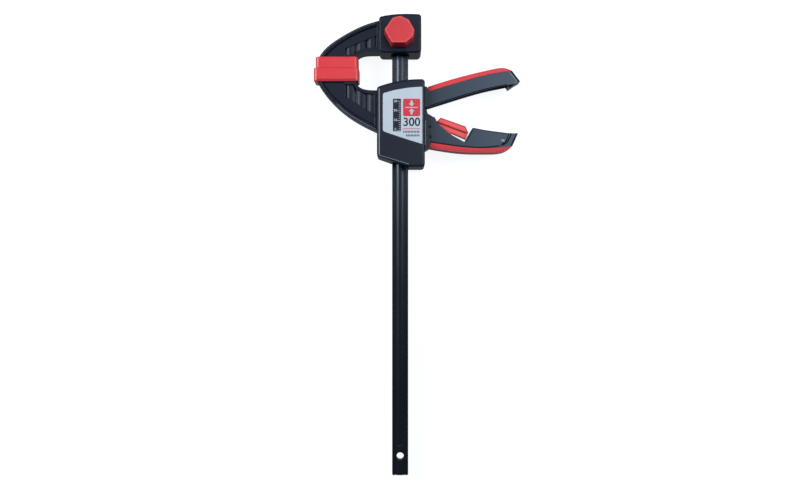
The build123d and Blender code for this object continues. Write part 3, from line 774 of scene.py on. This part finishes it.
def arrow(x, tail, tip):
    """An arrow along the bar's direction: its head and its shaft."""
    neck = tip - math.copysign(ARROW_HEAD, tip - tail)
    head = [(x - ARROW_HEAD, neck), (x, tip), (x + ARROW_HEAD, neck)]
    return head, box_outline(x - SHAFT_HALF, x + SHAFT_HALF, tail, neck)


def ruler_ticks():
    """Long ticks at every fifth place, short ones between them."""
    ticks = []
    count = int((STRIP[3] - STRIP[2] - 2 * STRIP_MARGIN) / TICK_GAP)
    right = STRIP[1] - TICK_MARGIN
    for index in range(count + 1):
        y = STRIP[2] + STRIP_MARGIN + index * TICK_GAP
        length = SHORT_TICK if index % 5 else LONG_TICK
        ticks.append(box_outline(right - length, right, y - TICK_HALF, y + TICK_HALF))
    return ticks


def small_marks():
    """Two rows of short upright marks."""
    marks = []
    for first, top in MARK_ROWS:
        for index in range(int((PANEL[1] - first) / MARK_GAP)):
            x = first + MARK_GAP * index
            marks.append(box_outline(x, x + MARK_WIDTH, top - MARK_HEIGHT, top))
    return marks


def words(name, text, x, y, height, z, material, turned):
    """Figures as a thin text piece, standing upright on the label; turned ones read from behind."""
    curve = bpy.data.curves.new(name, "FONT")
    curve.body = text
    curve.size = height * MM
    curve.extrude = INK / 2 * MM
    curve.offset = height * LETTER_WEIGHT * MM
    curve.align_x = "CENTER"
    curve.align_y = "CENTER"
    curve.materials.append(material)
    piece = bpy.data.objects.new(name, curve)
    piece.location = at(x, y, z)
    piece.rotation_euler = (0, math.pi if turned else 0, 0)
    scene.collection.objects.link(piece)
    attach(piece, "jaw")


print(len(ruler_ticks()), "ticks and", len(small_marks()), "marks on each label")

# %% [markdown]
# The panel, the strip, the rule and the marks are printed on the label itself. Arrows, ticks and
# figures lie one layer of ink higher, and a figure's place is the middle of its own thickness.

# %% Print both labels
DOWN_ARROW, UP_ARROW = (-34.8, -40.9), (-49.2, -43.1)
BOARD_HALF, BOARD_LOW, BOARD_HIGH = 6.4, -42.5, -41.5
NUMBER_Y, NUMBER_HEIGHT = -57.3, 12.0
FIGURE_X, FIGURE_HEIGHT = -4.9, 3.6
FIGURES = (("0", -64.5), ("10", -55.0), ("20", -45.0), ("30", -35.6))


def print_label(side, out):
    """The whole design on the front or the rear label."""
    face = out * LABEL_FACE

    def layer(name, outlines, level, material):
        flat_piece(f"{side}_label_{name}", outlines, face + out * INK * level, material, "jaw",
                   out * INK)

    middle = (PANEL[0] + PANEL[1]) / 2
    board = box_outline(middle - BOARD_HALF, middle + BOARD_HALF, BOARD_LOW, BOARD_HIGH)
    layer("panel", [rounded_box(*PANEL, PANEL_CORNER), box_outline(*RULE)], 0, red_plastic)
    layer("strip", [rounded_box(*STRIP, STRIP_CORNER)], 0, cover_plastic)
    layer("arrows", [*arrow(middle, *DOWN_ARROW), *arrow(middle, *UP_ARROW), board], 1, label_film)
    layer("ticks", ruler_ticks(), 1, label_film)
    layer("marks", small_marks(), 0, black_steel)
    words(f"{side}_label_number", "300", middle, NUMBER_Y, NUMBER_HEIGHT, face + out * INK / 2,
          cover_plastic, out < 0)
    for figure, y in FIGURES:
        words(f"{side}_label_figure_{figure}", figure, FIGURE_X, y, FIGURE_HEIGHT,
              face + out * INK * 1.5, label_film, out < 0)


for side, out in SIDES:
    print_label(side, out)

# %% [markdown]
# ## Joint lines, painted shade and painted highlights
# Where two mouldings meet there is a groove, and the shade in it is painted black. On the handle
# these are the seam above the soft sole, the joint of the end cap and the lip before it, and a ring
# round the stop pin. Painted shade darkens the edges that close the tips of both handles, the lower
# edge of the pump lever, the far wall of the notch and the tooth at the lever's tip. The release
# lever has a painted shadow below its thumb pad and a dark line round it, and two painted
# highlights lie where the handle leaves the cover and inside the lever's tip.

# %% Draw the lines on the handles
HANDLE_FACE = 9.5
LEVER_FACE = 9.0
THUMB_FACE = 6.2
WEDGE_FACE = 4.7
# Painted shade fills the grooves of the end cap's joint, of the lip before it and of the seam above
# the sole.
cap_line = [(115.5, -67.2), (113.4, -72.4), (110.3, -77.3), (105.0, -79.4)]
lip_line = [(112.9, -67.0), (111.6, -71.9), (109.6, -75.9), (105.6, -78.6)]
sole_line = [(31.6, -76.2), (45.4, -78.3), (62.0, -80.6), (85.0, -82.0), (104.0, -80.2)]
# A painted highlight where the handle leaves the cover.
neck_highlight = (25.9, 26.8, -79.4, -54.0)
top_edge = [(76.2, -62.1), (91.1, -64.8), (111.5, -67.5)]
# Painted shade on the edges and walls that face away from the lamps: the tips of both handles, the
# far wall of the notch, the tooth and the lower edge of the pump lever.
cap_edge = [(121.5, -67.4), (115.7, -80.2)]
notch_edge = [(68.8, -76.2), (76.0, -62.8)]
tip_edge = [(115.5, -2.8), (123.8, -13.4)]
tooth = [(119.6, -16.2), (113.8, -20.1), (111.3, -17.0), (115.0, -16.3)]
lever_edge = [(111.2, -16.4), (84.8, -22.1), (50.9, -32.1), (30.2, -38.7)]
# A painted highlight inside the lever's tip.
tip_light = [(114.3, -4.4), (121.2, -13.0), (118.4, -14.8)]
thumb_rim = [(40.2, -53.6), (42.6, -51.4), (67.4, -60.2), (69.3, -63.9)]
# A painted shadow under the overhanging thumb pad.
thumb_lower_edge = [(37.9, -55.2), (68.6, -66.7)]
STOP_PIN = Vector((30.9, -60.5))
PIN_RING = 1.2
HALF_STEPS = 12


def half_ring(first):
    """Points along half of the ring round the stop pin."""
    turns = [first + math.pi * step / HALF_STEPS for step in range(HALF_STEPS + 1)]
    return [STOP_PIN + Vector((math.cos(turn), math.sin(turn))) * PIN_RING for turn in turns]


# The ring round the stop pin is painted shade.
pin_shade_ring = [ribbon(half_ring(0), 0.4), ribbon(half_ring(math.pi), 0.4)]
HANDLE_LINES = (
    ("cap_joint", [ribbon(smooth(cap_line), 1.3), ribbon(smooth(lip_line), 1.0)], HANDLE_FACE,
     painted_shade_black, "cover_plastic", "jaw"),
    ("sole_seam", [ribbon(smooth(sole_line), 1.2)], HANDLE_FACE, painted_shade_black, "cover_plastic", "jaw"),
    ("neck_highlight", [box_outline(*neck_highlight)], HANDLE_FACE, painted_highlight_grey, "handle_plastic", "jaw"),
    ("stop_pin_shade", pin_shade_ring, HANDLE_FACE, painted_shade_black, "cover_plastic", "jaw"),
    ("top_edge", [ribbon(smooth(top_edge), 1.0)], HANDLE_FACE, cover_plastic, "cover_plastic",
     "jaw"),
    ("cap_edge", [ribbon(cap_edge, 1.9), ribbon(notch_edge, 0.9)], HANDLE_FACE, painted_shade_black,
     "cover_plastic", "jaw"),
    ("tip_edge", [ribbon(tip_edge, 1.5), tooth, ribbon(smooth(lever_edge), 1.0)], LEVER_FACE,
     painted_shade_black, "cover_plastic", "lever"),
    ("tip_highlight", [ribbon(tip_light, 0.6)], LEVER_FACE, painted_highlight_grey, "handle_plastic", "lever"),
    ("thumb_line", [ribbon(thumb_lower_edge, 1.3)], WEDGE_FACE, dark_red_plastic,
     "release_plastic", "release"),
    ("thumb_rim", [ribbon(thumb_rim, 0.7)], THUMB_FACE, dark_red_plastic, "release_plastic",
     "release"))
for side, out in SIDES:
    for name, outlines, face, material, slot, body in HANDLE_LINES:
        flat_piece(f"{side}_{name}", outlines, out * face, material, body, out * INK)
print(len(HANDLE_LINES), "lines on the handles, front and rear")

# %% [markdown]
# The arms have a flange along their outer curve. A thin pale line along its lip is a painted
# highlight, and below it, along the flange's foot, a dark band is painted shade. The cover's rim
# carries such a painted highlight as well, and the mouth of the lower pad is darkened with painted
# shade.

# %% Draw the lines on the arms and the cover
ARM_FACE = 12.0
WEB_FACE = 10.0
PAD_FACE = 13.6
LIP_INSET = 1.1
FOOT_WIDTH = 1.8
upper_curve = [(-23.5, 48.3), (-41.8, 42.4), (-62.5, 31.2), (-77.0, 20.4), (-83.4, 12.2)]
lower_curve = [(-66.5, -37.9), (-55.3, -47.5), (-38.2, -58.0), (-25.5, -64.3)]
upper_foot = [(-24.5, 44.0), (-41.8, 37.8), (-60.5, 27.6), (-73.0, 18.2), (-77.6, 12.8)]
lower_foot = [(-80.6, -15.4), (-69.2, -29.9), (-52.8, -44.2), (-38.2, -53.4), (-27.2, -58.6)]
rim_side = [(-21.3, -22.6), (-21.3, -91.0)]
rim_slope = [(-21.3, -91.0), (9.2, -100.3)]
pad_mouth = (-86.6, -46.0, -12.5, -11.3)

ARMS = (("upper", "bar_and_head", upper_curve, 0.45, upper_foot),
        ("lower", "jaw", lower_curve, 0.9, lower_foot))
for side, out in SIDES:
    for arm, body, lip, lip_width, foot in ARMS:
        # A painted highlight along the lip.
        flat_piece(f"{side}_{arm}_lip", [ribbon(shifted(smooth(lip), LIP_INSET), lip_width)],
                   out * ARM_FACE, painted_lip_highlight, body, out * INK)
        # Painted shade along the flange's foot.
        flat_piece(f"{side}_{arm}_foot", [ribbon(smooth(foot), FOOT_WIDTH)], out * WEB_FACE,
                   painted_shade_black, body, out * INK)
    # A painted highlight along the cover's rim.
    flat_piece(f"{side}_rim_line", [ribbon(rim_side, 0.8), ribbon(rim_slope, 0.5)],
               out * LABEL_FACE, painted_highlight_grey, "jaw", out * INK)
    # Painted shade in the lower pad's mouth.
    flat_piece(f"{side}_pad_mouths", [box_outline(*pad_mouth)], out * PAD_FACE, dark_red_plastic,
               "jaw", out * INK)
print("lines on the arms, the covers and the lower pad, front and rear")

# %% [markdown]
# The edge of the knob's face carries a painted highlight all round, a pale line where its rim
# catches the light.

# %% Paint a highlight on the knob's edge
KNOB_AXIS = Vector((0.0, 33.8))
KNOB_FACE = 36.5
KNOB_CORNERS = ((1, 14.5), (49, 13.4), (89, 14.0), (122, 14.3), (180, 15.9), (237, 15.8),
                (294, 14.5), (329, 14.7))
KNOB_EDGE = 1.25
rim_corners = []
for degrees, distance in KNOB_CORNERS:
    way = Vector((math.cos(math.radians(degrees)), math.sin(math.radians(degrees))))
    rim_corners.append(KNOB_AXIS + way * (distance - KNOB_EDGE))
rim_sides = zip(rim_corners, rim_corners[1:] + rim_corners[:1])
# A painted highlight round the edge of the knob's face.
flat_piece("knob_rim", [ribbon(ends, 0.6) for ends in rim_sides], KNOB_FACE, painted_highlight_red,
           "knob")
print("a pale edge on the knob with", len(rim_corners), "corners")

# %% [markdown]
# The lower pad's mouth is wider than the arm that goes into it. At its outer end a small stopper
# of the same rubber closes the gap between the arm's curve and the wall of the pad.

# %% Close the pad's outer end
STOPPER_REAR, STOPPER_THICKNESS = -11.9, 23.8
stopper = [(-88.4, -12.1), (-85.9, -12.1), (-85.1, -13.3), (-88.4, -13.3)]
flat_piece("moving_pad_stopper", [stopper], STOPPER_REAR, pad_rubber, "jaw",
           STOPPER_THICKNESS)
print("the lower pad is closed at its outer end")

# %% [markdown]
# ## The spring under the drive plates
# When the pump lever goes in, the drive plates come down by four millimetres and the spring round
# the bar gets shorter by as much. A stiff solid can't do that. So the wire is wound once more as a
# mesh, a tube along a helix.

# %% Wind the drive spring
SPRING_LOW, SPRING_TOP = -61.2, -48.6
SPRING_RADIUS = 10.0
SPRING_TURNS = 5
WIRE_RADIUS = 0.7
WIRE_SIDES = 10
ROUND_STEPS = 40


def coil(name, material):
    """A tube of wire wound round the bar from the top to the bottom, with flat ends."""
    tube = bmesh.new()
    rows = []
    drop = SPRING_TOP - SPRING_LOW - 2 * WIRE_RADIUS
    lean = math.atan2(drop, 2 * math.pi * SPRING_RADIUS * SPRING_TURNS)
    for step in range(ROUND_STEPS * SPRING_TURNS + 1):
        share = step / (ROUND_STEPS * SPRING_TURNS)
        turn = 2 * math.pi * SPRING_TURNS * share
        outward = Vector((math.cos(turn), 0, math.sin(turn)))
        along = Vector((-math.sin(turn) * math.cos(lean), -math.sin(lean),
                        math.cos(turn) * math.cos(lean)))
        aside = outward.cross(along)
        centre = outward * SPRING_RADIUS + Vector((0, SPRING_TOP - WIRE_RADIUS - drop * share, 0))
        row = []
        for side in range(WIRE_SIDES):
            angle = 2 * math.pi * side / WIRE_SIDES
            offset = (outward * math.cos(angle) + aside * math.sin(angle)) * WIRE_RADIUS
            row.append(tube.verts.new(at(*(centre + offset))))
        rows.append(row)
    for row, after in zip(rows, rows[1:]):
        for side in range(WIRE_SIDES):
            then = (side + 1) % WIRE_SIDES
            tube.faces.new((row[side], row[then], after[then], after[side])).smooth = True
    tube.faces.new(rows[0])
    tube.faces.new(rows[-1])
    bmesh.ops.recalc_face_normals(tube, faces=tube.faces)
    mesh = bpy.data.meshes.new(name)
    tube.to_mesh(mesh)
    tube.free()
    mesh.materials.append(material)
    wound = bpy.data.objects.new(name, mesh)
    scene.collection.objects.link(wound)
    return wound


spring = coil("drive_spring_coil", plate_steel)
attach(spring, "jaw")
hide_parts("drive_spring")
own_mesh(spring)
